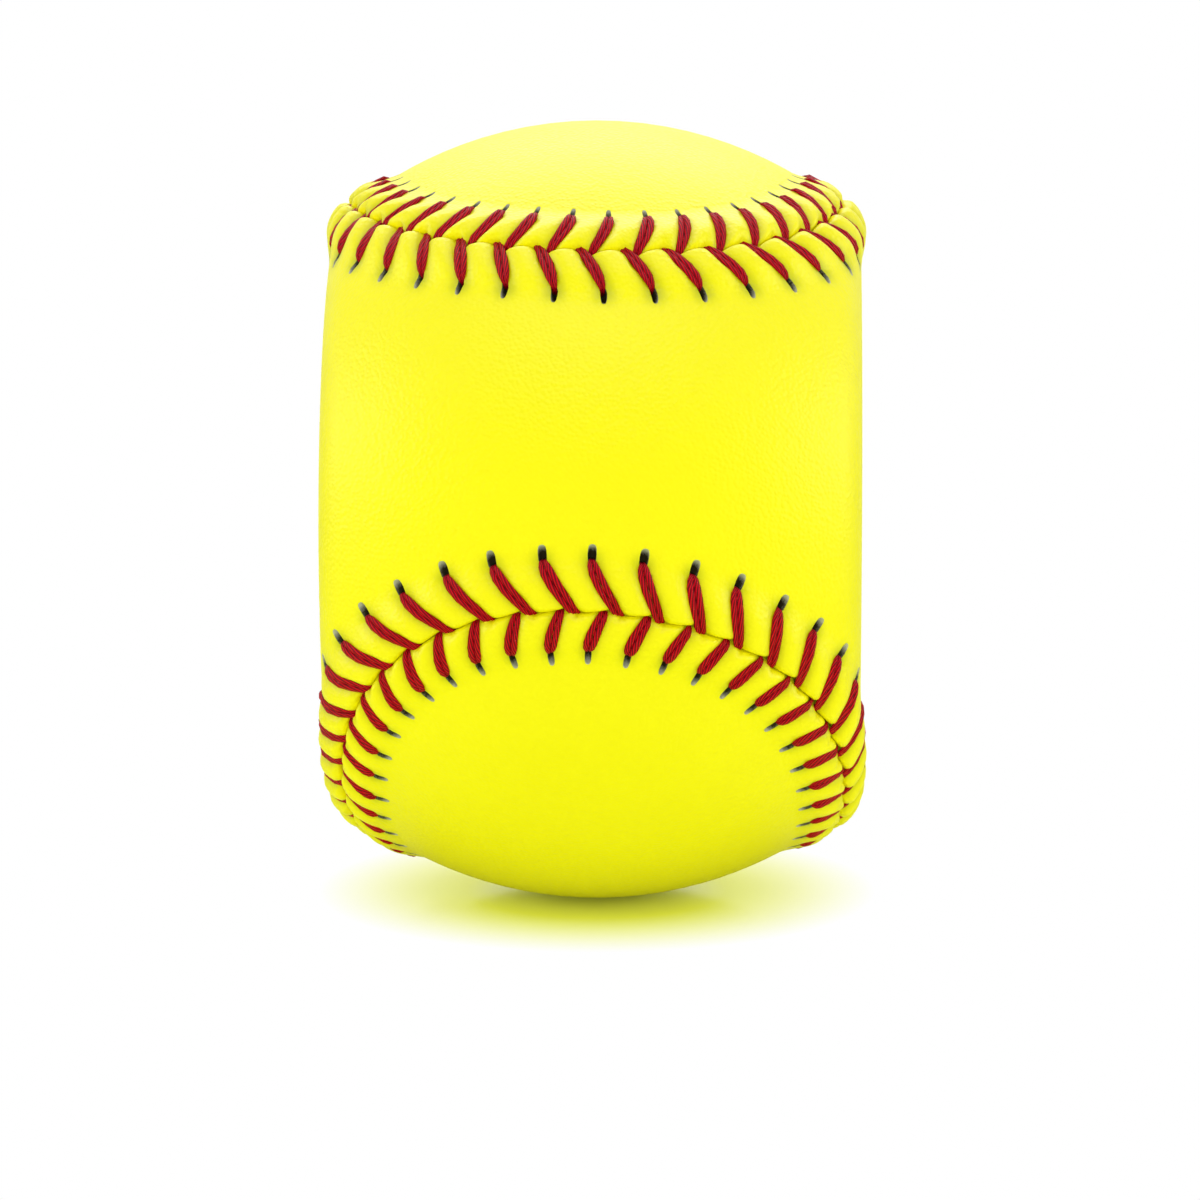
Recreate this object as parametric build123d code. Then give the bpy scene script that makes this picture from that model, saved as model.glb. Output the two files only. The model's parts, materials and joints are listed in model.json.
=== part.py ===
from build123d import *
from bisect import bisect_right
from math import atan2, cos, hypot, pi, radians, sin, sqrt, tan
import os

# A flat-sided softball, as it lies in use: X runs from flat side to flat side, -Y faces the
# viewer, Z is up and the origin is the middle of the ball. Millimetres and degrees.

# Ball
ball_circumference = 304.8  # round the dome, a twelve inch ball
flat_to_flat = 65.5
edge_radius = 7.5  # rounding between the dome and a flat side
roll = 21.34  # how far the front neck is turned up about X

# Layers under the cover's face
cover_thickness = 2.2
cement_thickness = 0.2

# Seam path, as angles at the middle of the ball
front_neck_angle = 26.65  # from the middle of the front neck up to the seam
rear_neck_angle = 26.5  # from the middle of the rear neck sideways to the seam
side_angle = 37.6  # from the middle plane out to the seam, above the middle
neck_length = 1.227  # how far the necks run before the seam turns
shoulder_fullness = 0.064  # how square the seam turns at its shoulders
seam_tilt = -2.2  # how far the whole path is turned to the right, seen from the front
neck_lean = 0.064  # how much lower the front neck's seams run on the right than on the left

# Raised lips on both sides of the seam
lip_height = 1.1
lip_crown = 3.2  # half width of the full height
lip_slope = 4.2  # from the crown down to the cover
lip_groove = 1.0  # half width of the groove between the lips
seam_gap = 0.6

# Tunnel under the lips, where the thread crosses from panel to panel
tunnel_height = 1.3
tunnel_reach = 6.8  # half width of the full height
tunnel_slope = 2.2

# Two-needle stitching
stitch_count = 100
stitch_start = 0.86  # of the first stitch, from the middle of the front neck
stitch_gain = 0.49  # stitches that the first half of the seam falls short by
front_reach = 6.4  # from the seam to where the thread comes up through the front panel
rim_reach = 4.9  # the same through the rim panel
front_slant = 1.75  # how far those places lie behind the stitch's place on the seam
rim_slant = 2.1
front_dive = -0.7  # where each leg goes down between the panels
rim_dive = 0.45
leg_curve = 1.4  # how soon a leg turns square to the seam on the way to its hole, 1 for straight
thread_width = 1.35  # two strands side by side
thread_thickness = 0.7
tail_width = 0.7  # the strands one behind the other in their hole
tail_thickness = 1.2
pinch_width = 1.1  # pressed flat between the panels
pinch_thickness = 0.36
strand_taper = 0.7  # width of the thread's top against its foot
thread_clearance = 0.2
hole_width = 1.0
hole_length = 3.0
hole_slack = 0.3  # between the thread and the end of its hole nearest the seam

# Fineness of the seam's curves
seam_spans = 12
span_points = 8
table_steps = 720
turn_step = 2e-4  # small turn that shows which way the seam runs
short_step = 0.1  # short distance on the cover that shows a direction

# Worked out from the sizes above
ball_radius = ball_circumference / (2 * pi)
flat_half = flat_to_flat / 2
edge_x = flat_half - edge_radius
edge_r = sqrt((ball_radius - edge_radius) ** 2 - edge_x**2)
edge_angle = atan2(edge_x, edge_r)
dome_arc = ball_radius * edge_angle
edge_arc = edge_radius * (pi / 2 - edge_angle)
core_inset = cover_thickness + cement_thickness
lip_reach = lip_crown + lip_slope
buried = cover_thickness / 4  # how deep the foot of the lips is let into the cover
beyond = cover_thickness / 2  # how far cuts run past a face
front_stitch = (front_reach, front_slant, front_dive)
rim_stitch = (rim_reach, rim_slant, rim_dive)


def profile_point(arc, lift):
    """X and distance from the X axis, at an arc length from the middle plane and a lift off the cover."""
    side = 1 if arc >= 0 else -1
    rest = abs(arc) - dome_arc
    if rest <= 0:
        angle = abs(arc) / ball_radius
        radius = ball_radius + lift
        return side * radius * sin(angle), radius * cos(angle)
    if rest <= edge_arc:
        angle = edge_angle + rest / edge_radius
        radius = edge_radius + lift
        return side * (edge_x + radius * sin(angle)), edge_r + radius * cos(angle)
    return side * (flat_half + lift), edge_r - (rest - edge_arc)


def profile_arc(x, r):
    """Arc length from the middle plane to where the ray through x and r leaves the cover."""
    side = 1 if x >= 0 else -1
    angle = atan2(abs(x), r)
    if angle <= edge_angle:
        return side * ball_radius * angle
    towards = edge_x * sin(angle) + edge_r * cos(angle)
    square = edge_x**2 + edge_r**2 - edge_radius**2
    ray = towards + sqrt(towards**2 - square)
    bend = atan2(ray * sin(angle) - edge_x, ray * cos(angle) - edge_r)
    if bend <= pi / 2:
        return side * (dome_arc + edge_radius * (bend - edge_angle))
    return side * (dome_arc + edge_arc + edge_r - flat_half / tan(angle))


def seam_spot(turn):
    """Profile arc and angle about X of the seam, for a turn of 0 to 2 pi round its closed path."""
    front, rear, side = (tan(radians(a)) for a in (front_neck_angle, rear_neck_angle, side_angle))
    rear_part = rear - shoulder_fullness
    side_part = neck_length * side + shoulder_fullness
    x = (rear_part + side_part) / 2 * sin(turn)
    x += (side_part - rear_part) / 2 * sin(3 * turn)
    x += shoulder_fullness * sin(5 * turn)
    y = -cos(2 * turn)
    z = (neck_length + front) / 2 * cos(turn) - (neck_length - front) / 2 * cos(3 * turn)
    z -= neck_lean * sin(3 * turn)
    tilt = radians(seam_tilt)
    tilted_x = x * cos(tilt) + z * sin(tilt)
    tilted_z = z * cos(tilt) - x * sin(tilt)
    return profile_arc(tilted_x, hypot(y, tilted_z)), atan2(tilted_z, -y)


def seam_step(turn):
    """Change of profile arc and of distance round X over a small step along the seam."""
    arc_0, angle_0 = seam_spot(turn - turn_step / 2)
    arc_1, angle_1 = seam_spot(turn + turn_step / 2)
    swing = (angle_1 - angle_0 + pi) % (2 * pi) - pi
    return arc_1 - arc_0, swing * profile_point((arc_0 + arc_1) / 2, 0)[1]


def measure_seam():
    """Distance along the seam at each step of its turn."""
    lengths = [0]
    for i in range(table_steps):
        step = seam_step(2 * pi * (i + 0.5) / table_steps)
        lengths.append(lengths[-1] + hypot(*step) / turn_step * 2 * pi / table_steps)
    return lengths


seam_lengths = measure_seam()
seam_length = seam_lengths[-1]


def seam_turn(along):
    """Turn at a distance along the seam."""
    along %= seam_length
    i = bisect_right(seam_lengths, along) - 1
    share = (along - seam_lengths[i]) / (seam_lengths[i + 1] - seam_lengths[i])
    return 2 * pi * (i + share) / table_steps


def on_cover(along, across, lift):
    """Point at a distance along the seam, across it towards the rim panel, and off the cover's face."""
    turn = seam_turn(along)
    arc, angle = seam_spot(turn)
    arc_step, round_step = seam_step(turn)
    step = hypot(arc_step, round_step)
    arc_shift = -across * round_step / step
    middle_r = profile_point(arc + arc_shift / 2, 0)[1]
    angle += across * arc_step / step / middle_r + radians(roll)
    x, r = profile_point(arc + arc_shift, lift)
    return Vector(x, -r * cos(angle), r * sin(angle))


def heading(along, across, lift, along_part, across_part):
    """Direction on the cover of a step that runs partly along the seam and partly across it."""
    scale = short_step / hypot(along_part, across_part)
    along_step, across_step = along_part * scale, across_part * scale
    ahead = on_cover(along + along_step, across + across_step, lift)
    return ahead - on_cover(along - along_step, across - across_step, lift)


def lip_top(across):
    """Height of the lips over the cover's face."""
    return min(lip_height, lip_height * (lip_reach - abs(across)) / lip_slope)


def flat_sided_ball(inset):
    """Solid of revolution of the ball's outline, moved in from the cover's face."""
    flat = flat_half - inset
    mid_x, mid_r = profile_point(dome_arc + edge_arc / 2, -inset)
    dome_x, dome_r = profile_point(dome_arc, -inset)
    outline = [
        Line((flat, 0), (flat, edge_r)),
        ThreePointArc((flat, edge_r), (mid_x, mid_r), (dome_x, dome_r)),
        ThreePointArc((dome_x, dome_r), (0, ball_radius - inset), (-dome_x, dome_r)),
        ThreePointArc((-dome_x, dome_r), (-mid_x, mid_r), (-flat, edge_r)),
        Line((-flat, edge_r), (-flat, 0)),
        Line((-flat, 0), (flat, 0)),
    ]
    return revolve(make_face(outline), Axis.X)


def seam_ring(section):
    """Closed ring along the seam, ruled between the corners of its section, each across and up."""
    count = seam_spans * span_points
    pitch = seam_length / count
    rows = []
    for across, lift in section:
        row = []
        for start in range(0, count, span_points):
            places = [pitch * i for i in range(start, start + span_points + 1)]
            points = [on_cover(place, across, lift) for place in places]
            ends = [heading(place, across, lift, 1, 0) for place in (places[0], places[-1])]
            row.append(Edge.make_spline(points, tangents=ends, parameters=range(span_points + 1)))
        rows.append(row)
    faces = []
    for row, next_row in zip(rows, rows[1:] + rows[:1]):
        faces += [Face.make_surface_from_curves(a, b) for a, b in zip(row, next_row)]
    return Solid(Shell(faces))


def mirrored(half):
    """Section from a list of corners on one side of the seam."""
    return half + [(-across, lift) for across, lift in reversed(half) if across]


def cover_panels():
    """Front panel and rim panel."""
    foot = lip_slope * (1 + buried / lip_height)
    lips = seam_ring(
        mirrored(
            [
                (0, lip_height),
                (lip_crown, lip_height),
                (lip_crown + lip_slope / 2, lip_height / 2),
                (lip_crown + foot, -buried),
                (lip_crown, -2 * buried),
            ]
        )
    )
    ceiling = tunnel_height - cover_thickness
    tunnel = seam_ring(
        mirrored(
            [
                (0, ceiling),
                (tunnel_reach / 2, ceiling),
                (tunnel_reach, ceiling),
                (tunnel_reach + tunnel_slope, -cover_thickness - buried),
                (tunnel_reach / 2, -cover_thickness - 2 * buried),
            ]
        )
    )
    groove_top = lip_height + beyond
    groove_half = seam_gap / 2 + (lip_groove - seam_gap / 2) * groove_top / lip_height
    groove = seam_ring(
        mirrored(
            [
                (groove_half, groove_top),
                (seam_gap / 2, 0),
                (seam_gap / 2, -cover_thickness - beyond),
            ]
        )
    )
    raised = flat_sided_ball(0).fuse(lips)
    hollow = flat_sided_ball(cover_thickness).fuse(tunnel)
    cover = raised.cut(hollow).cut(groove)
    front, rim = sorted(cover.solids(), key=lambda panel: panel.center().Y)
    return front.cut(*stitch_holes(-1, front_stitch)), rim.cut(*stitch_holes(1, rim_stitch))


def stitch_places():
    """Distance along the seam of each stitch."""
    places = []
    for i in range(stitch_count):
        gained = i + stitch_gain * sin(pi * i / stitch_count) ** 2
        places.append(stitch_start + seam_length * gained / stitch_count)
    return places


def stitch_holes(side, stitch):
    """Cutters for the oval holes of one panel, each long in the direction away from the seam."""
    reach, slant, _ = stitch
    cutters = []
    shift = hole_length / 2 - tail_thickness / 2 - hole_slack
    for place in stitch_places():
        along = place + slant
        across = side * (reach + shift)
        foot = on_cover(along, across, -cover_thickness - beyond)
        head = on_cover(along, across, lip_height + beyond)
        behind = heading(along, across, 0, 0, side)
        hole = Plane(foot, x_dir=behind, z_dir=head - foot) * SlotOverall(hole_length, hole_width)
        cutters.append(extrude(hole, (head - foot).length))
    return cutters


def lap_stations(place, next_place, side, near, far):
    """Stops of one lap of thread: up through its hole, over the near lip, down the gap, under the far lip."""
    reach, slant, dive = near
    far_reach, far_slant, _ = far
    over = thread_thickness / 2 + thread_clearance
    floor = -cover_thickness + thread_clearance
    run_along = next_place + far_slant - place - dive
    tail = (tail_width, tail_thickness, 0, -side)
    pinch = (pinch_width, pinch_thickness, 0, -side)
    run = (thread_width, thread_thickness, run_along, -side * far_reach)

    def leg_stop(across):
        rest = 1 - across / reach
        along = place + slant + (dive - slant) * rest**leg_curve
        lean = (dive - slant) * leg_curve * rest ** (leg_curve - 1) / reach
        return (along, side * across, lip_top(across) + over, thread_width, thread_thickness, lean, -side)

    stops = [(place + slant, side * reach, floor, *tail), (place + slant, side * reach, lip_top(reach), *tail)]
    bend = reach - tail_thickness / 2 - over
    stops += [leg_stop(across) for across in (bend, min(lip_crown, bend - over), lip_groove)]
    stops += [(place + dive, 0, lip_height / 3, *pinch)]
    stops += [(place + dive, 0, tunnel_height - cover_thickness - over, *pinch)]
    under = far_reach - tail_thickness / 2 - thread_clearance
    for share in (0.3, 0.55, 0.8, 1):
        along = place + dive + share * under / far_reach * run_along
        stops.append((along, -side * share * under, floor + thread_thickness / 2, *run))
    return stops


def lap_of_thread(stops):
    """Ruled loft through the stops of one lap, each a place, a width, a thickness and a heading."""
    points = [on_cover(*stop[:3]) for stop in stops]
    sections = []
    for i, (along, across, lift, width, thickness, along_part, across_part) in enumerate(stops):
        before = points[max(i - 1, 0)]
        after = points[min(i + 1, len(points) - 1)]
        travel = (after - before).normalized()
        onward = heading(along, across, lift, along_part, across_part)
        outward = on_cover(along, across, lift + thickness) - points[i]
        upward = travel.cross(outward.cross(onward)).normalized()
        beside = upward.cross(travel)
        low, high = -upward * thickness / 2, upward * thickness / 2
        wide, narrow = beside * width / 2, beside * width * strand_taper / 2
        corners = [low - wide, low + wide, high + narrow, high - narrow]
        sections.append(Wire.make_polygon([points[i] + corner for corner in corners]))
    return Solid.make_loft(sections, ruled=True)


def stitching():
    """Laps of the first and of the second needle, which change panels at every stitch."""
    places = stitch_places()
    threads = [[], []]
    for i, place in enumerate(places):
        next_place = places[i - 1] if i else places[-1] - seam_length
        front_lap = lap_of_thread(lap_stations(place, next_place, -1, front_stitch, rim_stitch))
        rim_lap = lap_of_thread(lap_stations(place, next_place, 1, rim_stitch, front_stitch))
        threads[i % 2].append(front_lap)
        threads[1 - i % 2].append(rim_lap)
    return threads


core = flat_sided_ball(core_inset)
front_panel, rim_panel = cover_panels()
first_laps, second_laps = stitching()
nodes = {
    "core": core,
    "cement_coat": flat_sided_ball(cover_thickness) - core,
    "front_panel": front_panel,
    "rim_panel": rim_panel,
    "first_thread": Compound(first_laps),
    "second_thread": Compound(second_laps),
}
os.makedirs("parts", exist_ok=True)
for name, shape in nodes.items():
    export_step(shape, f"parts/{name}.step")
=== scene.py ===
import bpy
import json
import random
from bisect import bisect_right
from math import atan2, cos, exp, hypot, pi, radians, sin, sqrt, tan
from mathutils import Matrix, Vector


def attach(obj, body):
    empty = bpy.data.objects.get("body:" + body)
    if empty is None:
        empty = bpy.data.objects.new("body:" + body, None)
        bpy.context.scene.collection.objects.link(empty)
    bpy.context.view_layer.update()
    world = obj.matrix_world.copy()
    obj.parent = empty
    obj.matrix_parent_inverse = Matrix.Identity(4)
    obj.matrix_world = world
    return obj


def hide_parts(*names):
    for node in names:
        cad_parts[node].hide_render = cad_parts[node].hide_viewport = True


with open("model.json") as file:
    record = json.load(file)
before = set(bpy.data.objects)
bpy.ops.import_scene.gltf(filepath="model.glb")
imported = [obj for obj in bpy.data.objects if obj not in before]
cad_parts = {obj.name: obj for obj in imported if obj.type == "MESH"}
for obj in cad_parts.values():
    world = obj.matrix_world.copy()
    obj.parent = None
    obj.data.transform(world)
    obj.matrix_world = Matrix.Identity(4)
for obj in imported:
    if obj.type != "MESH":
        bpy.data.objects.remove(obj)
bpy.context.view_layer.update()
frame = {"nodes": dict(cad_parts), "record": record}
mm = 0.001  # sizes below are millimetres and degrees
chance = random.Random(7)
print("frame loaded")

ball = {
    "circumference": 304.8,
    "flatHalf": frame["record"]["mounts"][0]["pos_m"][0] / mm,  # middle plane to a flat side
    "edgeRadius": 7.5,  # rounding between dome and flat
    "roll": 21.34,  # the front neck is turned up by this
    "leather": 2.2,  # thickness of the cover
}
seam = {
    "frontNeck": 26.65,  # half widths of the two necks
    "rearNeck": 26.5,
    "side": 37.6,  # how far out the seam runs above the middle
    "neckLength": 1.227,
    "shoulder": 0.064,
    "tilt": -2.2,  # the whole path is turned a little
    "neckLean": 0.064,  # the front neck leans down to the right
    "lipHeight": 1.1,  # the leather stands up along the seam
    "lipRoll": 0.85,  # width of the rolled edge
    "lipCrown": 2.9,  # from the edge to where the lip begins to fall
    "lipSlope": 4.6,
    "puff": 0.42,  # pillows between the stitches
    "puffs": (0.7, 1.3),  # they vary between these shares
    "puffAt": 1.7,  # distance of their tops from the edge
    "puffWide": 2.3,
    "scallop": 1.0,  # how far the front panel climbs on the rim panel from stitch to stitch
    "scallops": (0.8, 1.2),
    "upperScallop": 0.25,  # how much more that is on the upper run
    "scallopFade": 2.6,  # how far into the panels the climb is felt
    "climb": 0.8,  # 1 is an even climb, less is quicker at first
    "drop": 0.07,  # share of a stitch, either side of the leg, in which the edge falls back
    "gap": 0.04,
    "tipPocket": 0.3,  # small opening beside each point of the herringbone
    "pocketAt": 0.93,  # as a share of the way to the next leg
    "pocketWide": 0.055,
    "tipDip": (0.75, 0.85, 0.9),  # depth, length and width of the dip in the rim panel at each point
}
sewing = {
    "count": 100,
    "start": 0.86,  # of the first stitch, from the middle of the upper run
    "gain": 0.49,  # stitches that the first half of the seam falls short by
    "legCurve": 1.4,  # a leg turns square to the seam near its hole
    "strandWidth": 0.9,
    "strandHeight": 0.7,
    "sunk": 0.07,  # how deep the thread beds into the leather
    "uneven": 0.13,  # handwork: places wander by about this
    "widths": (0.92, 1.08),  # and widths vary between these shares
    "holeWidth": 0.92,
    "holeSquare": 2.8,  # 2 is an ellipse, more is squarer
    "pinchDepth": 0.6,  # valley that the thread pulls into the leather, deepest at the seam
    "pinchWidth": 1.05,
    "pinchFall": 0.55,
    "holePinch": 0.2,  # and how deep it still is at the hole
    "holePinchStart": 0.5,
    "holePinchLong": 1.2,
    "holeDepth": 1.7,
    "holeRise": 0.6,  # the far end of a hole is shallower by this share
    "holeFar": (0.1, 0.8),  # where the far end starts and how long it is, in half lengths of the hole
    "holeFarShadeCut": (0.75, -0.1),  # how much of the painted hole shade the far end loses, and how that changes on the upper run, where the holes get more painted shade
    "upperReach": 0.2,  # on the upper run the thread fills more of its hole
    "upperNarrow": 0.22,  # and the holes there are narrower by this share
}
frontLeg = {
    "panel": "front",
    "side": -1,  # of the seam
    "reach": 6.0,  # from the seam to where the thread comes up through the panel
    "slant": 1.95,  # how far along the seam that is from the stitch's place
    "slantSwing": -0.2,  # added on the upper run and taken off on the lower one
    "dive": -0.92,  # the same where the leg goes down between the panels
    "diveSwing": 0.08,
    "cross": 0.5,  # how far the leg goes past the seam
    "upperCross": 0.45,  # added on the upper run
    "upperShift": -1.15,  # how far out from the seam the hole moves there
    "holeLength": 2.4,
    "holeShift": 0.75,  # from the thread to the middle of its hole
}
rimLeg = {
    "panel": "rim",
    "side": 1,
    "reach": 4.9,
    "slant": 2.2,
    "slantSwing": 0.05,
    "dive": 0.25,
    "diveSwing": -0.05,
    "cross": -0.1,
    "upperCross": 0.15,
    "upperShift": 1.0,
    "holeLength": 2.3,
    "holeShift": 0.75,
}

radius = ball["circumference"] / (2 * pi)
edgeX = ball["flatHalf"] - ball["edgeRadius"]
edgeR = sqrt((radius - ball["edgeRadius"]) ** 2 - edgeX**2)
edgeAngle = atan2(edgeX, edgeR)
domeArc = radius * edgeAngle
edgeArc = ball["edgeRadius"] * (pi / 2 - edgeAngle)


def profilePoint(arc, lift):  # x and distance from the X axis
    side = 1 if arc >= 0 else -1
    rest = abs(arc) - domeArc
    if rest <= 0:
        angle = abs(arc) / radius
        return side * (radius + lift) * sin(angle), (radius + lift) * cos(angle)
    if rest <= edgeArc:
        angle = edgeAngle + rest / ball["edgeRadius"]
        bend = ball["edgeRadius"] + lift
        return side * (edgeX + bend * sin(angle)), edgeR + bend * cos(angle)
    return side * (ball["flatHalf"] + lift), edgeR - (rest - edgeArc)


def profileArc(x, r):  # distance along the outline to where the ray through x and r comes out
    side = 1 if x >= 0 else -1
    angle = atan2(abs(x), r)
    if angle <= edgeAngle:
        return side * radius * angle
    towards = edgeX * sin(angle) + edgeR * cos(angle)
    square = edgeX**2 + edgeR**2 - ball["edgeRadius"] ** 2
    ray = towards + sqrt(max(towards**2 - square, 0))
    bend = atan2(ray * sin(angle) - edgeX, ray * cos(angle) - edgeR)
    if bend <= pi / 2:
        return side * (domeArc + ball["edgeRadius"] * (bend - edgeAngle))
    return side * (domeArc + edgeArc + edgeR - ball["flatHalf"] / tan(angle))


neckZ = tan(radians(seam["frontNeck"]))
rearPart = tan(radians(seam["rearNeck"])) - seam["shoulder"]
sidePart = seam["neckLength"] * tan(radians(seam["side"])) + seam["shoulder"]
tiltCos, tiltSin = cos(radians(seam["tilt"])), sin(radians(seam["tilt"]))


def seamSpot(turn):  # outline distance and angle about X, once round for a turn of 2 pi
    x = (rearPart + sidePart) / 2 * sin(turn)
    x += (sidePart - rearPart) / 2 * sin(3 * turn)
    x += seam["shoulder"] * sin(5 * turn)
    y = -cos(2 * turn)
    z = (seam["neckLength"] + neckZ) / 2 * cos(turn) - (seam["neckLength"] - neckZ) / 2 * cos(3 * turn)
    z -= seam["neckLean"] * sin(3 * turn)
    x, z = x * tiltCos + z * tiltSin, z * tiltCos - x * tiltSin
    return profileArc(x, hypot(y, z)), atan2(z, -y)


turnStep = 2e-4
tableSteps = 720


def seamStep(turn):
    arc0, angle0 = seamSpot(turn - turnStep / 2)
    arc1, angle1 = seamSpot(turn + turnStep / 2)
    swing = (angle1 - angle0 + pi) % (2 * pi) - pi
    return arc1 - arc0, swing * profilePoint((arc0 + arc1) / 2, 0)[1]


seamLengths = [0]
for tableStep in range(tableSteps):
    pace = hypot(*seamStep(2 * pi * (tableStep + 0.5) / tableSteps)) / turnStep
    seamLengths.append(seamLengths[-1] + pace * 2 * pi / tableSteps)
seamLength = seamLengths[-1]


def onCover(along, across, lift):  # along the seam, across it towards the rim panel, off the ball
    along %= seamLength
    i = bisect_right(seamLengths, along) - 1
    share = (along - seamLengths[i]) / (seamLengths[i + 1] - seamLengths[i])
    turn = 2 * pi * (i + share) / tableSteps
    arc, angle = seamSpot(turn)
    arcStep, roundStep = seamStep(turn)
    step = hypot(arcStep, roundStep)
    shift = -across * roundStep / step
    middleR = profilePoint(arc + shift / 2, 0)[1]
    angle += across * arcStep / step / middleR + radians(ball["roll"])
    x, r = profilePoint(arc + shift, lift)
    return Vector((x, -r * cos(angle), r * sin(angle)))


def liftedTo(point, lift):  # a point near the cover, moved straight in or out
    x, r = profilePoint(profileArc(point.x, hypot(point.y, point.z)), lift)
    angle = atan2(point.z, -point.y)
    return Vector((x, -r * cos(angle), r * sin(angle)))


def smooth(share):
    share = min(max(share, 0), 1)
    return share * share * (3 - 2 * share)


def hump(distance, width):
    return exp(-((distance / width) ** 2))


# stitches, each a little off its even place
pitch = seamLength / sewing["count"]
stitches = []
for stitchNumber in range(sewing["count"]):
    gained = stitchNumber + sewing["gain"] * sin(pi * stitchNumber / sewing["count"]) ** 2
    stitch = {"place": sewing["start"] + pitch * gained}
    stitch["upper"] = cos(2 * pi * stitchNumber / sewing["count"])  # 1 on the upper run, -1 on the lower
    for leg in (frontLeg, rimLeg):
        wander = [chance.uniform(-1, 1) * sewing["uneven"] for part in range(3)]
        stitch[leg["panel"] + "slant"] = leg["slant"] + leg["slantSwing"] * stitch["upper"] + wander[0]
        stitch[leg["panel"] + "dive"] = leg["dive"] + leg["diveSwing"] * stitch["upper"] + wander[1]
        stitch[leg["panel"] + "reach"] = wander[2] + leg["upperShift"] * max(stitch["upper"], 0)
        stitch[leg["panel"] + "width"] = chance.uniform(*sewing["widths"])
        stitch[leg["panel"] + "twist"] = chance.uniform(-1, 1)
    stitch["scallop"] = chance.uniform(*seam["scallops"]) * (1 + seam["upperScallop"] * stitch["upper"])
    stitch["puff"] = chance.uniform(*seam["puffs"])
    stitches.append(stitch)


def legAlong(leg, number, out):  # where the leg's line lies along the seam, at a distance out from it
    stitch = stitches[number % sewing["count"]]
    lap = number // sewing["count"] * seamLength
    dive, slant = stitch[leg["panel"] + "dive"], stitch[leg["panel"] + "slant"]
    rest = max(1 - out / leg["reach"], 0)
    return lap + stitch["place"] + slant + (dive - slant) * rest ** sewing["legCurve"]


def between(number, share, value):  # a stitch's value, blended into the next one's
    here, there = stitches[number % sewing["count"]], stitches[(number + 1) % sewing["count"]]
    return here[value] + (there[value] - here[value]) * share


tips = [legAlong(frontLeg, i, 0) for i in range(-1, sewing["count"] + 2)]


def seamLine(along):  # wavy line where the panels meet, and the little opening at the tip
    along = (along - tips[1]) % seamLength + tips[1]
    i = bisect_right(tips, along) - 1
    share = (along - tips[i]) / (tips[i + 1] - tips[i])
    swell = stitches[(i - 1) % sewing["count"]]["scallop"] * seam["scallop"]
    pocket = seam["tipPocket"] * hump(share - seam["pocketAt"], seam["pocketWide"])
    drop = seam["drop"]
    if share < drop:
        climb = 1 - smooth((share + drop) / (2 * drop))
    elif share > 1 - drop:
        climb = 1 - smooth((share - 1 + drop) / (2 * drop))
    else:
        climb = ((share - drop) / (1 - 2 * drop)) ** seam["climb"]
    return swell * (climb - 0.5), pocket


def tipDistance(along):  # along the seam to the nearest point of the herringbone
    along = (along - tips[1]) % seamLength + tips[1]
    i = bisect_right(tips, along) - 1
    return min(along - tips[i], tips[i + 1] - along)


def lipLift(out):  # height of the lip at a distance from the panel's edge
    rolled = sqrt(1 - (1 - min(out / seam["lipRoll"], 1)) ** 2)
    return seam["lipHeight"] * rolled * (1 - smooth((out - seam["lipCrown"]) / seam["lipSlope"]))


def pinchAt(leg, out):  # how deep the thread pulls the leather in
    share = min(out / leg["reach"], 1)
    past = (out - leg["reach"] + sewing["holePinchStart"]) / sewing["holePinchLong"]
    valley = sewing["pinchDepth"] * (1 - share) ** sewing["pinchFall"]
    return valley + sewing["holePinch"] * (1 - smooth(past))


# rings round each stitch hole, from its middle out to the plain leather
ringLevels = [0, 0.26, 0.45, 0.52, 0.62, 0.78, 1]
holeLevel = 0.52  # the rim of the hole
ovalLevel = 0.6  # outside this the ovals turn back into the grid's squares
holeDepths = {0: 1, 0.26: 1, 0.45: 0.6, 0.52: 0.02}  # shares of the full depth
# painted shade at each ring of the hole, as a share of the full
holeShades = {0: 1, 0.26: 1, 0.45: 0.95, 0.52: 0.75}
panelMesh = {
    "edgeDepths": (1.1, 0.4),  # rows down the panel's edge, above its foot
    "rollRows": (0, 0.03, 0.1, 0.22, 0.4, 0.62, 0.9, 1.25),  # close rows over the rolled edge
    "lipStep": 0.6,  # about, for the rows from there to the holes
    "endRow": 11,  # the band along the seam ends here, and the plain field begins
    "farColumns": 3,
    "fieldColumns": 16,
    "liningColumns": 8,
    "weld": 0.002,
}


def columnShares():  # one stitch to the next, close together at the thread
    halfBox = sewing["holeWidth"] / 2 / holeLevel / pitch
    half = [halfBox * level for level in ringLevels]
    for i in range(panelMesh["farColumns"]):
        half.append(halfBox + (0.5 - halfBox) * (i + 1) / panelMesh["farColumns"])
    return half + [1 - share for share in reversed(half[1:-1])]


def panelRows(leg):  # depths down the edge, then distances out from it
    boxHalf = leg["holeLength"] / 2 / holeLevel
    centre = leg["reach"] + leg["holeShift"]
    rows = [("edge", -depth) for depth in (ball["leather"], *panelMesh["edgeDepths"])]
    lipEnd = centre - boxHalf
    rolls = list(panelMesh["rollRows"])
    steps = max(round((lipEnd - rolls[-1]) / panelMesh["lipStep"]), 2)
    rolls += [rolls[-1] + (lipEnd - rolls[-1]) * i / steps for i in range(1, steps)]
    rows += [("out", out) for out in rolls]
    levels = [-level for level in reversed(ringLevels[1:])] + ringLevels
    rows += [("out", centre + boxHalf * level) for level in levels]
    spare = panelMesh["endRow"] - (centre + boxHalf)
    if spare > 1:
        rows.append(("out", centre + boxHalf + spare / 2))
    rows.append(("out", panelMesh["endRow"]))
    return rows


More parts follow.
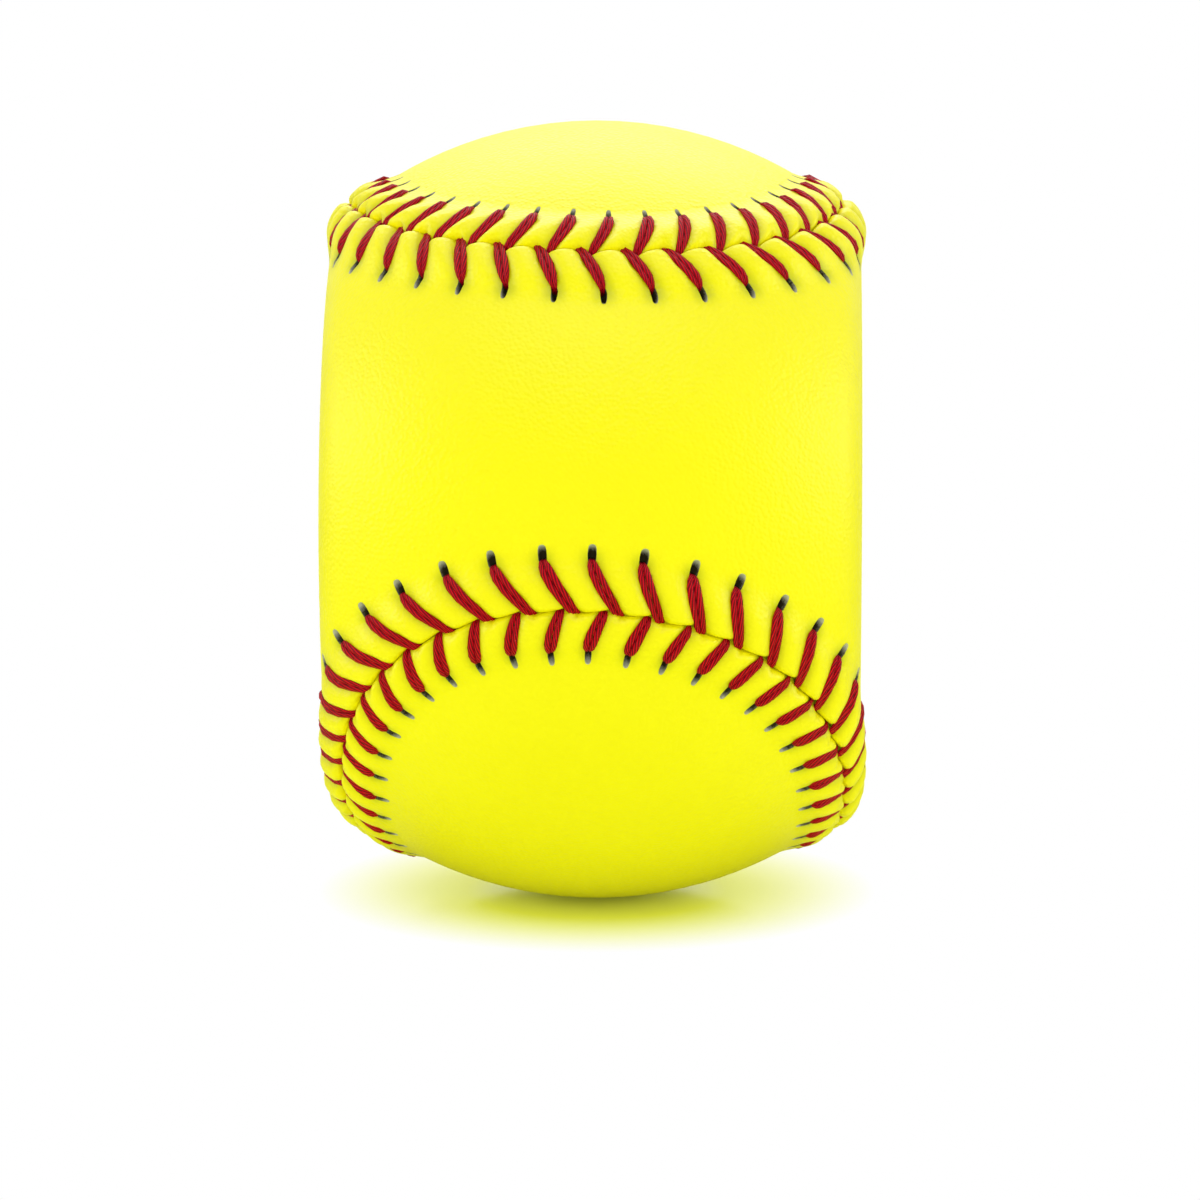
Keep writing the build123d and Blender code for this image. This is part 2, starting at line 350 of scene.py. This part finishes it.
def roundedHole(leg, aside, out, narrow):  # squares of the grid drawn into ovals round a hole
    boxWide = sewing["holeWidth"] / 2 / holeLevel
    boxLong = leg["holeLength"] / 2 / holeLevel
    a, b = aside / boxWide, (out - leg["reach"] - leg["holeShift"]) / boxLong
    ring = max(abs(a), abs(b))
    if ring >= 1 or ring == 0:
        return aside, out, ring
    square = sewing["holeSquare"]
    oval = ring / (abs(a) ** square + abs(b) ** square) ** (1 / square)
    blend = 1 - smooth((ring - ovalLevel) / (1 - ovalLevel))
    scale = 1 + (oval - 1) * blend
    aside *= scale * (1 - narrow * (1 - smooth((ring - holeLevel) / (1 - holeLevel))))
    return aside, leg["reach"] + leg["holeShift"] + b * boxLong * scale, ring


def bandPoint(leg, column, row, shares):  # its place, the painted shade in a hole, and how far the thread pulls it in, which also sets the painted shade along the thread
    number, part = divmod(column, len(shares))
    share = shares[part]
    kind, value = row
    nearNumber = number if share < 0.5 else number + 1
    aside = (share if share < 0.5 else share - 1) * pitch
    out = value if kind == "out" else 0
    upper = stitches[nearNumber % sewing["count"]]["upper"]
    aside, out, ring = roundedHole(leg, aside, out, sewing["upperNarrow"] * max(upper, 0))
    share = aside / pitch + nearNumber - number
    wander = between(number, share, leg["panel"] + "reach")
    wander *= sin(pi * min(out / panelMesh["endRow"], 1)) ** 2
    out += wander
    start, end = legAlong(leg, number, out), legAlong(leg, number + 1, out)
    along = start + (end - start) * share
    line, pocket = seamLine(along)
    if leg["side"] > 0:
        pocket = 0
    across = leg["side"] * (out + seam["gap"] / 2) + (line - pocket) * hump(out, seam["scallopFade"])
    if kind == "edge":
        return onCover(along, across, value), 0, 0
    lift = lipLift(out)
    pinch = 1 / (1 + (aside / sewing["pinchWidth"]) ** 4)
    lift -= pinchAt(leg, out) * pinch
    puff = seam["puff"] * between(number, share, "puff") * sin(pi * share) ** 2
    lift += puff * hump(out - seam["puffAt"], seam["puffWide"])
    if leg["side"] > 0:
        depth, long, wide = seam["tipDip"]
        lift -= depth * hump(tipDistance(along), long) * hump(out, wide)
    rawAndHoleShade, level = 0, round(ring, 2)
    if level <= holeLevel:
        middle = leg["reach"] + leg["holeShift"]
        length = (out - wander - middle) / leg["holeLength"] * 2  # -1 at the thread, 1 at the far end
        far = smooth((length - sewing["holeFar"][0]) / sewing["holeFar"][1])
        # painted shade in the hole: full deep down, less towards the far end, and more on the upper run
        pale = sewing["holeFarShadeCut"][0] + sewing["holeFarShadeCut"][1] * upper
        lift -= sewing["holeDepth"] * holeDepths[level] * (1 - sewing["holeRise"] * far)
        rawAndHoleShade = holeShades[level] * (1 - pale * far)
    # past the hole the mask for the painted valley shade fades out
    if out >= leg["reach"]:
        pinch *= hump(out - leg["reach"], sewing["holePinchLong"])
    return onCover(along, across, lift), rawAndHoleShade, pinch


def deselect():
    bpy.ops.object.select_all(action="DESELECT")


def gridPiece(name, columns, rows, place):  # a flat grid, each point then laid in its place
    deselect()
    bpy.ops.mesh.primitive_grid_add(x_subdivisions=columns, y_subdivisions=rows, size=1)
    piece = bpy.context.object
    piece.name = name
    raws, pinches = [], []
    for point in piece.data.vertices:
        column, row = round((point.co.x + 0.5) * columns), round((point.co.y + 0.5) * rows)
        spot, rawAndHoleShade, pinch = place(column, row)
        point.co = spot * mm
        raws.append(rawAndHoleShade)
        pinches.append(pinch)
    for attribute, values in (("rawAndHoleShade", raws), ("pinch", pinches)):
        piece.data.attributes.new(attribute, "FLOAT", "POINT").data.foreach_set("value", values)
    return piece


def welded(name, pieces):  # one closed shell from grids that share their borders
    deselect()
    for piece in pieces:
        piece.select_set(True)
    bpy.context.view_layer.objects.active = pieces[0]
    bpy.ops.object.join()
    shell = bpy.context.object
    shell.name = name
    shell.data.name = name
    bpy.ops.object.mode_set(mode="EDIT")
    bpy.ops.mesh.select_all(action="SELECT")
    bpy.ops.mesh.remove_doubles(threshold=panelMesh["weld"] * mm)
    bpy.ops.mesh.normals_make_consistent(inside=False)
    bpy.ops.object.mode_set(mode="OBJECT")
    bpy.ops.object.shade_smooth()
    return shell


def leatherPanel(name, leg, tipAlong):
    shares = columnShares()
    rows = panelRows(leg)
    columns = sewing["count"] * len(shares)
    band = gridPiece(name, columns, len(rows) - 1, lambda c, r: bandPoint(leg, c % columns, rows[r], shares))
    ends = [bandPoint(leg, c, rows[-1], shares)[0] for c in range(columns)]
    feet = [bandPoint(leg, c, rows[0], shares)[0] for c in range(columns)]
    tip = onCover(tipAlong, leg["side"] * panelMesh["endRow"], 0)
    middle = min(range(columns), key=lambda c: (ends[c] - tip).length)
    half = columns // 2

    def rung(border, lift, count):  # straight across the panel from border to border
        def place(c, r):
            first, last = border[(middle + r) % columns], border[(middle - r) % columns]
            if c in (0, count):
                return (first if c == 0 else last), 0, 0
            return liftedTo(first.lerp(last, c / count), lift), 0, 0
        return place

    wide, under = panelMesh["fieldColumns"], panelMesh["liningColumns"]
    field = gridPiece("field", wide, half, rung(ends, 0, wide))
    lining = gridPiece("lining", under, half, rung(feet, -ball["leather"], under))
    panel = welded(name, [band, field, lining])
    print(name, len(panel.data.polygons), "faces")
    return panel


frontPanel = leatherPanel("frontLeather", frontLeg, seamLength / 4)
rimPanel = leatherPanel("rimLeather", rimLeg, 0)

# a strand: a six-sided tube with rings along it, bent onto the seam for each leg
strand = {
    "sides": 6,
    "cuts": 9,
    "spread": 0.42,  # from the middle of a leg to each of its two strands
    "twist": 80,  # the two strands wind round each other by up to this along a leg
    "follow": 0.9,  # how far a leg follows its hole as that wanders
    "lastRest": 0.35,  # nearer the seam the thread keeps the height that it has here
    "tiltStep": 0.1,
}


def strandModel():
    deselect()
    bpy.ops.mesh.primitive_cylinder_add(vertices=strand["sides"], radius=1, depth=1, end_fill_type="NGON")
    model = bpy.context.object
    bpy.ops.object.mode_set(mode="EDIT")
    bpy.ops.mesh.select_mode(type="EDGE")
    bpy.ops.mesh.select_all(action="DESELECT")
    bpy.ops.object.mode_set(mode="OBJECT")
    for edge in model.data.edges:
        ends = [model.data.vertices[i].co.z for i in edge.vertices]
        edge.select = abs(ends[0] - ends[1]) > 0.5
    bpy.ops.object.mode_set(mode="EDIT")
    bpy.ops.mesh.subdivide(number_cuts=strand["cuts"])
    bpy.ops.object.mode_set(mode="OBJECT")
    return model


# stops of a leg from its hole to the seam:
# share of the way, rise over the leather, share of the width on the lower run and on the upper one
legStops = [
    (0.0, -1.5, 0.4, 0.4),
    (0.0, -0.45, 0.48, 0.42),
    (0.012, 0.05, 0.58, 0.5),
    (0.07, 0.25, 0.8, 0.66),
    (0.2, 0.29, 0.98, 0.87),
    (0.42, 0.3, 1.0, 0.94),
    (0.66, 0.3, 0.9, 0.86),
    (0.85, 0.28, 0.8, 0.74),
    (0.95, 0.18, 0.7, 0.65),
    (1.0, -0.14, 0.6, 0.56),
    (1.01, -0.9, 0.5, 0.48),
]


def leatherTop(leg, out):  # height of the leather under a leg
    out = max(out, strand["lastRest"])
    return lipLift(out) - pinchAt(leg, out)


def legTilt(leg, number, out):  # how the leg lies against the seam
    stitch = stitches[number]
    rest = max(1 - out / leg["reach"], 0)
    sweep = stitch[leg["panel"] + "slant"] - stitch[leg["panel"] + "dive"]
    sweep *= sewing["legCurve"] * rest ** (sewing["legCurve"] - 1)
    return atan2(sweep, leg["reach"]) * leg["side"]


def bentStrand(model, leg, number, sideways):
    piece = bpy.data.objects.new("strand", model.data.copy())
    bpy.context.collection.objects.link(piece)
    stitch = stitches[number]
    top = max(stitch["upper"], 0)
    reach = leg["reach"] + stitch[leg["panel"] + "reach"] * strand["follow"] + sewing["upperReach"] * top
    cross = leg["cross"] + leg["upperCross"] * top
    lines = []
    for share, rise, lower, upper in legStops:
        out = reach - (cross + reach) * share
        lift = leatherTop(leg, out) + rise - sewing["sunk"]
        lines.append((legAlong(leg, number, out), leg["side"] * out, lift, legTilt(leg, number, out)))
    points = [onCover(*line[:3]) for line in lines]
    frames = []
    for i, (along, across, lift, tilt) in enumerate(lines):
        share, rise, lower, upper = legStops[i]
        width = (lower + (upper - lower) * (stitch["upper"] + 1) / 2) * stitch[leg["panel"] + "width"]
        turn = radians(strand["twist"]) * stitch[leg["panel"] + "twist"] * (share - 0.5)
        ahead = (points[min(i + 1, len(points) - 1)] - points[max(i - 1, 0)]).normalized()
        step = strand["tiltStep"]
        beside = onCover(along + step * cos(tilt), across - step * sin(tilt), lift) - points[i]
        beside = (beside - ahead * beside.dot(ahead)).normalized()
        up = ahead.cross(beside) * leg["side"]
        apart = beside * cos(turn) + up * sin(turn) / 2
        middle = points[i] + apart * sideways * width * strand["spread"]
        frames.append((middle, beside * width, up * min(width, 1)))
    for point in piece.data.vertices:
        ring = round((point.co.z + 0.5) * (strand["cuts"] + 1))
        middle, beside, up = frames[ring]
        wide, high = point.co.x * sewing["strandWidth"] / 2, point.co.y * sewing["strandHeight"] / 2
        point.co = (middle + beside * wide + up * high) * mm
    return piece


def threadPiece(name, model, first):  # the needle changes panels at every stitch
    strands = []
    for number in range(sewing["count"]):
        leg = frontLeg if number % 2 == first else rimLeg
        strands += [bentStrand(model, leg, number, sideways) for sideways in (-1, 1)]
    deselect()
    for piece in strands:
        piece.select_set(True)
    bpy.context.view_layer.objects.active = strands[0]
    bpy.ops.object.join()
    thread = bpy.context.object
    thread.name = name
    thread.data.name = name
    bpy.ops.object.mode_set(mode="EDIT")
    bpy.ops.mesh.select_all(action="SELECT")
    bpy.ops.mesh.normals_make_consistent(inside=False)
    bpy.ops.object.mode_set(mode="OBJECT")
    bpy.ops.object.shade_smooth()
    print(name, len(thread.data.polygons), "faces")
    return thread


strandTube = strandModel()
firstThread = threadPiece("firstThread", strandTube, 0)
secondThread = threadPiece("secondThread", strandTube, 1)
bpy.data.objects.remove(strandTube)


def hexColour(text):  # sRGB hex to linear
    values = [int(text[i : i + 2], 16) / 255 for i in (1, 3, 5)]
    return (*[v / 12.92 if v <= 0.04045 else ((v + 0.055) / 1.055) ** 2.4 for v in values], 1)


def addNode(tree, kind, settings={}, inputs={}):
    node = tree.nodes.new(kind)
    for name, value in settings.items():
        setattr(node, name, value)
    for socket, value in inputs.items():
        if isinstance(value, bpy.types.NodeSocket):
            tree.links.new(value, node.inputs[socket])
        else:
            node.inputs[socket].default_value = value
    return node


def newMaterial(name):
    material = bpy.data.materials.new(name)
    material.use_nodes = True
    material.node_tree.nodes.clear()
    return material, material.node_tree


def finishMaterial(tree, shader):
    addNode(tree, "ShaderNodeOutputMaterial", {}, {"Surface": shader.outputs["BSDF"]})


# cowhide with a pigmented optic yellow coat: even colour, painted shade in the valleys along the thread, fine
# pebble grain, soft sheen
leatherLook = {
    "yellow": "#FEF600",
    "shade": "#FBF200",
    "fold": "#B4B800",  # painted shade in the valleys where the thread pulls the leather in
    "foldTint": 0.8,
    "ior": 1.47,
    "roughness": 0.42,
    "topSmooth": 0.05,  # the tops of the grain are smoother and its pits rougher
    "pitRough": 0.08,
    "grainSize": 0.5,
    "grainDepth": 0.07,
    "creaseSize": 3.2,
    "creaseDepth": 0.08,
    "mottleSize": 14,
}


def coverLeather():
    look = leatherLook
    material, tree = newMaterial("opticYellowCowhide")
    spot = addNode(tree, "ShaderNodeTexCoord").outputs["Object"]
    mottle = addNode(
        tree, "ShaderNodeTexNoise", {},
        {"Vector": spot, "Scale": 1 / (look["mottleSize"] * mm), "Detail": 2},
    )
    grain = addNode(
        tree, "ShaderNodeTexVoronoi", {"feature": "SMOOTH_F1"},
        {"Vector": spot, "Scale": 1 / (look["grainSize"] * mm), "Smoothness": 0.4},
    )
    crease = addNode(
        tree, "ShaderNodeTexNoise", {},
        {"Vector": spot, "Scale": 1 / (look["creaseSize"] * mm), "Detail": 4, "Roughness": 0.6},
    )
    pinch = addNode(tree, "ShaderNodeAttribute", {"attribute_name": "pinch"}).outputs["Fac"]
    colour = addNode(
        tree, "ShaderNodeMix", {"data_type": "RGBA"},
        {"Factor": mottle.outputs["Fac"], "A": hexColour(look["yellow"]), "B": hexColour(look["shade"])},
    )
    # painted shade in the valleys where the thread pulls the leather in, masked by pinch
    valleyShadeMix = addNode(tree, "ShaderNodeMath", {"operation": "MULTIPLY"}, {0: pinch, 1: look["foldTint"]})
    shaded = addNode(
        tree, "ShaderNodeMix", {"data_type": "RGBA"},
        {"Factor": valleyShadeMix.outputs["Value"], "A": colour.outputs["Result"], "B": hexColour(look["fold"])},
    )
    rough = addNode(
        tree, "ShaderNodeMapRange", {},
        {
            "Value": grain.outputs["Distance"],
            "To Min": look["roughness"] - look["topSmooth"],
            "To Max": look["roughness"] + look["pitRough"],
        },
    )
    fine = addNode(
        tree, "ShaderNodeBump", {"invert": True},
        {"Strength": 1, "Distance": look["grainDepth"] * mm, "Height": grain.outputs["Distance"]},
    )
    broad = addNode(
        tree, "ShaderNodeBump", {},
        {
            "Strength": 0.5,
            "Distance": look["creaseDepth"] * mm,
            "Height": crease.outputs["Fac"],
            "Normal": fine.outputs["Normal"],
        },
    )
    shader = addNode(
        tree, "ShaderNodeBsdfPrincipled", {},
        {
            "Base Color": shaded.outputs["Result"],
            "Roughness": rough.outputs["Result"],
            "Normal": broad.outputs["Normal"],
            "IOR": look["ior"],
        },
    )
    finishMaterial(tree, shader)
    return material


# the undyed inside of the hide, seen in the stitch holes: pale fibres, with painted shade that darkens them
# with depth
rawLook = {
    "pale": "#BFC0AE",
    "deep": "#322C1C",
    "paleUpTo": 0.25,  # how deep in the hole each colour is pure
    "deepFrom": 0.85,
    "fibreSize": 0.25,
    "fibreDepth": 0.05,
    "fibreSpread": 0.4,  # how far the fibres shift the colour
    "roughness": 0.9,
    "specular": 0.2,
}


def rawLeather():
    look = rawLook
    material, tree = newMaterial("undyedLeatherCore")
    spot = addNode(tree, "ShaderNodeTexCoord").outputs["Object"]
    depth = addNode(tree, "ShaderNodeAttribute", {"attribute_name": "rawAndHoleShade"}).outputs["Fac"]
    fibre = addNode(
        tree, "ShaderNodeTexNoise", {},
        {"Vector": spot, "Scale": 1 / (look["fibreSize"] * mm), "Detail": 3},
    )
    wander = addNode(
        tree, "ShaderNodeMath", {"operation": "MULTIPLY_ADD"},
        {0: fibre.outputs["Fac"], 1: look["fibreSpread"], 2: -look["fibreSpread"] / 2},
    )
    darker = addNode(tree, "ShaderNodeMath", {"operation": "ADD"}, {0: depth, 1: wander.outputs["Value"]})
    spread = addNode(
        tree, "ShaderNodeMapRange", {},
        {"Value": darker.outputs["Value"], "From Min": look["paleUpTo"], "From Max": look["deepFrom"]},
    )
    # pale core where the hole is shallow, painted shade where it is deep
    colour = addNode(
        tree, "ShaderNodeMix", {"data_type": "RGBA"},
        {"Factor": spread.outputs["Result"], "A": hexColour(look["pale"]), "B": hexColour(look["deep"])},
    )
    bump = addNode(
        tree, "ShaderNodeBump", {},
        {"Distance": look["fibreDepth"] * mm, "Height": fibre.outputs["Fac"]},
    )
    shader = addNode(
        tree, "ShaderNodeBsdfPrincipled", {},
        {
            "Base Color": colour.outputs["Result"],
            "Normal": bump.outputs["Normal"],
            "Roughness": look["roughness"],
            "Specular IOR Level": look["specular"],
        },
    )
    finishMaterial(tree, shader)
    return material


# waxed cotton, plied: slanting fibres along each strand, painted shade in the grooves between them and a
# painted highlight on their tops, pale flecks of wax
threadLook = {
    # the thread's red, made brighter on the fibre tops as a painted highlight
    "red": "#DA0022",
    # painted shade in the grooves between the fibres
    "valley": "#46000A",
    "fleck": "#D85860",
    "fibresRound": 7,  # drawn coarser than the real ones so that they show
    "turnsAlong": 1.7,
    "fibreDepth": 0.08,
    "fleckSize": 0.35,
    "fleckFrom": 0.68,  # only the strongest flecks show
    "fleckFull": 0.8,
    "roughness": 0.55,
    "specular": 0.2,
}


def waxedThread():
    look = threadLook
    material, tree = newMaterial("waxedCottonThread")
    lay = addNode(tree, "ShaderNodeTexCoord")
    parts = addNode(tree, "ShaderNodeSeparateXYZ", {}, {"Vector": lay.outputs["UV"]})
    ribs = 2 * pi * look["fibresRound"]
    around = addNode(tree, "ShaderNodeMath", {"operation": "MULTIPLY"}, {0: parts.outputs["X"], 1: ribs})
    twist = ribs * look["turnsAlong"] * 2  # the tube takes half the height of its UV map
    phase = addNode(
        tree, "ShaderNodeMath", {"operation": "MULTIPLY_ADD"},
        {0: parts.outputs["Y"], 1: twist, 2: around.outputs["Value"]},
    )
    wave = addNode(tree, "ShaderNodeMath", {"operation": "SINE"}, {0: phase.outputs["Value"]})
    fibre = addNode(tree, "ShaderNodeMapRange", {}, {"Value": wave.outputs["Value"], "From Min": -1})
    fuzz = addNode(
        tree, "ShaderNodeTexNoise", {},
        {"Vector": lay.outputs["Object"], "Scale": 1 / (look["fleckSize"] * mm), "Detail": 3},
    )
    height = addNode(
        tree, "ShaderNodeMath", {"operation": "MULTIPLY"},
        {0: fibre.outputs["Result"], 1: fuzz.outputs["Fac"]},
    )
    # fibre tops get the red with its painted highlight, grooves the painted shade
    colour = addNode(
        tree, "ShaderNodeMix", {"data_type": "RGBA"},
        {"Factor": fibre.outputs["Result"], "A": hexColour(look["valley"]), "B": hexColour(look["red"])},
    )
    flecks = addNode(
        tree, "ShaderNodeMapRange", {},
        {"Value": fuzz.outputs["Fac"], "From Min": look["fleckFrom"], "From Max": look["fleckFull"]},
    )
    dotted = addNode(
        tree, "ShaderNodeMix", {"data_type": "RGBA"},
        {"Factor": flecks.outputs["Result"], "A": colour.outputs["Result"], "B": hexColour(look["fleck"])},
    )
    bump = addNode(
        tree, "ShaderNodeBump", {},
        {"Distance": look["fibreDepth"] * mm, "Height": height.outputs["Value"]},
    )
    shader = addNode(
        tree, "ShaderNodeBsdfPrincipled", {},
        {
            "Base Color": dotted.outputs["Result"],
            "Normal": bump.outputs["Normal"],
            "Roughness": look["roughness"],
            "Specular IOR Level": look["specular"],
        },
    )
    finishMaterial(tree, shader)
    return material


# inside the ball: dense cream foam with fine cells, and the dried cement on it
coreLook = {
    "name": "mouldedPolyurethane",
    "pale": "#E8DFC4",
    "dark": "#D8CDAA",
    "cellSize": 0.8,
    "cellDepth": 0.1,
    "roughness": 0.8,
}
cementLook = {
    "name": "driedLatexCement",
    "pale": "#D9CCA0",
    "dark": "#BFAF7E",
    "cellSize": 3,
    "cellDepth": 0.1,
    "roughness": 0.5,
}


def innerMaterial(look):
    material, tree = newMaterial(look["name"])
    spot = addNode(tree, "ShaderNodeTexCoord").outputs["Object"]
    cells = addNode(tree, "ShaderNodeTexVoronoi", {}, {"Vector": spot, "Scale": 1 / (look["cellSize"] * mm)})
    colour = addNode(
        tree, "ShaderNodeMix", {"data_type": "RGBA"},
        {"Factor": cells.outputs["Distance"], "A": hexColour(look["dark"]), "B": hexColour(look["pale"])},
    )
    bump = addNode(
        tree, "ShaderNodeBump", {},
        {"Distance": look["cellDepth"] * mm, "Height": cells.outputs["Distance"]},
    )
    shader = addNode(
        tree, "ShaderNodeBsdfPrincipled", {},
        {
            "Base Color": colour.outputs["Result"],
            "Normal": bump.outputs["Normal"],
            "Roughness": look["roughness"],
        },
    )
    finishMaterial(tree, shader)
    return material


yellow, rawAndHoleShade, red = coverLeather(), rawLeather(), waxedThread()
for panel, node in ((frontPanel, "front_panel"), (rimPanel, "rim_panel")):
    panel.data.materials.append(yellow)
    panel.data.materials.append(rawAndHoleShade)
    depths = panel.data.attributes["rawAndHoleShade"].data
    for face in panel.data.polygons:
        face.material_index = 1 if min(depths[i].value for i in face.vertices) > 0 else 0
    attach(panel, "root")
    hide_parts(node)
for thread, node in ((firstThread, "first_thread"), (secondThread, "second_thread")):
    thread.data.materials.append(red)
    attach(thread, "root")
    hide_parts(node)
for node, look in (("core", coreLook), ("cement_coat", cementLook)):
    frame["nodes"][node].material_slots[0].material = innerMaterial(look)
print("materials on")

# studio: a white table with a painted yellow glow round the ball, softboxes above, behind and at each side,
# and a low fill from the front
studio = {
    "floorSize": 12,  # metres
    "floor": "#F0FA98",  # the white table, painted yellow-green as the ball's bounce light; the tint also colours the light that the table throws back on the ball
    "floorRoughness": 0.16,
    "poolWide": 35,  # the table is plain white outside this oval, in millimetres
    "poolDeep": 36.5,
    # painted yellow glow of the ball's bounce light on the table, seen by the camera only
    "paintedBounceGlow": "#FBFF46",
    "poolStart": 0.47,  # share of the oval where the painted yellow glow turns to white
    "roomFront": 0.03,  # the room is dark in front, and bright above and behind
    "roomBack": 0.25,
    "roomLean": 0.8,  # how much the back counts against the top
    "top": {"at": (0, -0.45, 1.05), "wide": 1.2, "high": 1.0, "watts": 4.2, "sheen": True},
    "back": {"at": (0, 0.75, 0.95), "wide": 1.4, "high": 1.1, "watts": 10, "sheen": True},
    "left": {"at": (-1.0, -0.1, 0.3), "wide": 0.8, "high": 0.6, "watts": 3, "sheen": True},
    "right": {"at": (1.0, -0.1, 0.3), "wide": 0.8, "high": 0.6, "watts": 3, "sheen": True},
    "front": {"at": (0, -1.3, 0.06), "wide": 1.2, "high": 0.25, "watts": 8.2, "sheen": False},
}


def studioFloor():
    deselect()
    bpy.ops.mesh.primitive_plane_add(size=studio["floorSize"], location=(0, 0, -radius * mm))
    floor = bpy.context.object
    floor.name = "studioFloor"
    material, tree = newMaterial("whiteTableWithPaintedBounce")
    spot = addNode(tree, "ShaderNodeTexCoord").outputs["Object"]
    pool = (1 / (studio["poolWide"] * mm), 1 / (studio["poolDeep"] * mm), 1)
    oval = addNode(tree, "ShaderNodeVectorMath", {"operation": "MULTIPLY"}, {0: spot, 1: pool})
    away = addNode(tree, "ShaderNodeVectorMath", {"operation": "LENGTH"}, {0: oval.outputs["Vector"]})
    fade = addNode(
        tree, "ShaderNodeMapRange", {"interpolation_type": "SMOOTHSTEP"}, {"Value": away.outputs["Value"]},
    )
    seen = addNode(tree, "ShaderNodeLightPath").outputs["Is Camera Ray"]
    shown = addNode(tree, "ShaderNodeMath", {"operation": "MULTIPLY"}, {0: seen, 1: fade.outputs["Result"]})
    table = addNode(
        tree, "ShaderNodeBsdfPrincipled", {},
        {"Base Color": hexColour(studio["floor"]), "Roughness": studio["floorRoughness"]},
    )
    # painted yellow glow near the ball, turning to white towards the oval's edge
    paler = addNode(
        tree, "ShaderNodeMapRange", {}, {"Value": away.outputs["Value"], "From Min": studio["poolStart"]},
    )
    paintedBounceColour = addNode(
        tree, "ShaderNodeMix", {"data_type": "RGBA"},
        {"Factor": paler.outputs["Result"], "A": hexColour(studio["paintedBounceGlow"]), "B": (1, 1, 1, 1)},
    )
    whiteAndPaintedBounce = addNode(tree, "ShaderNodeEmission", {}, {"Color": paintedBounceColour.outputs["Result"], "Strength": 1})
    mixed = addNode(
        tree, "ShaderNodeMixShader", {},
        {0: shown.outputs["Value"], 1: table.outputs["BSDF"], 2: whiteAndPaintedBounce.outputs["Emission"]},
    )
    addNode(tree, "ShaderNodeOutputMaterial", {}, {"Surface": mixed.outputs["Shader"]})
    floor.data.materials.append(material)


def softLight(name, lamp):
    deselect()
    bpy.ops.object.light_add(type="AREA", location=lamp["at"])
    light = bpy.context.object
    light.name = name
    light.data.shape = "ELLIPSE"
    light.data.size, light.data.size_y = lamp["wide"], lamp["high"]
    light.data.energy = lamp["watts"]
    light.visible_glossy = lamp["sheen"]
    light.visible_camera = False
    light.rotation_euler = (-Vector(lamp["at"])).to_track_quat("-Z", "Y").to_euler()


def whiteRoom():
    world = bpy.data.worlds.new("whiteRoom")
    bpy.context.scene.world = world
    world.use_nodes = True
    tree = world.node_tree
    tree.nodes.clear()
    path = addNode(tree, "ShaderNodeLightPath")
    sky = addNode(tree, "ShaderNodeTexCoord").outputs["Generated"]
    way = addNode(tree, "ShaderNodeSeparateXYZ", {}, {"Vector": sky})
    behind = addNode(
        tree, "ShaderNodeMath", {"operation": "MULTIPLY_ADD"},
        {0: way.outputs["Y"], 1: studio["roomLean"], 2: way.outputs["Z"]},
    )
    soft = addNode(
        tree, "ShaderNodeMapRange", {"interpolation_type": "SMOOTHSTEP"},
        {"Value": behind.outputs["Value"], "To Min": studio["roomFront"], "To Max": studio["roomBack"]},
    )
    clear = addNode(  # gloss and glass see the same white as the camera
        tree, "ShaderNodeMath", {"operation": "MAXIMUM"},
        {0: path.outputs["Is Glossy Ray"], 1: path.outputs["Is Transmission Ray"]},
    )
    seen = addNode(
        tree, "ShaderNodeMath", {"operation": "MAXIMUM"},
        {0: path.outputs["Is Camera Ray"], 1: clear.outputs["Value"]},
    )
    strength = addNode(
        tree, "ShaderNodeMapRange", {},
        {"Value": seen.outputs["Value"], "To Min": soft.outputs["Result"], "To Max": 1},
    )
    room = addNode(
        tree, "ShaderNodeBackground", {},
        {"Color": (1, 1, 1, 1), "Strength": strength.outputs["Result"]},
    )
    addNode(tree, "ShaderNodeOutputWorld", {}, {"Surface": room.outputs["Background"]})


studioFloor()
whiteRoom()
for lampName in ("top", "back", "left", "right", "front"):
    softLight(lampName + "Light", studio[lampName])

# camera as in the photograph
view = {
    "distance": 880,
    "elevation": 9.0,
    "azimuth": 1.5,
    "focalPixels": 7040,
    "framePixels": 1200,
    "ballPixel": (597, 509.3),  # where the middle of the ball is seen
    "sensor": 36,
    "clip": (0.01, 50),  # metres
}


def photoCamera():
    rise, swing = radians(view["elevation"]), radians(view["azimuth"])
    back = Vector((sin(swing) * cos(rise), -cos(swing) * cos(rise), sin(rise)))
    right = Vector((cos(swing), sin(swing), 0))
    up = back.cross(right)
    perPixel = view["distance"] / view["focalPixels"]
    aim = right * (view["framePixels"] / 2 - view["ballPixel"][0]) * perPixel
    aim -= up * (view["framePixels"] / 2 - view["ballPixel"][1]) * perPixel
    place = back * view["distance"]
    deselect()
    bpy.ops.object.camera_add(location=place * mm)
    camera = bpy.context.object
    camera.rotation_euler = (aim - place).to_track_quat("-Z", "Y").to_euler()
    camera.data.sensor_width = view["sensor"]
    camera.data.sensor_fit = "HORIZONTAL"
    camera.data.lens = view["focalPixels"] / view["framePixels"] * view["sensor"]
    camera.data.clip_start, camera.data.clip_end = view["clip"]
    bpy.context.scene.camera = camera


photoCamera()
bpy.context.scene.view_settings.view_transform = "Standard"
print("studio set")
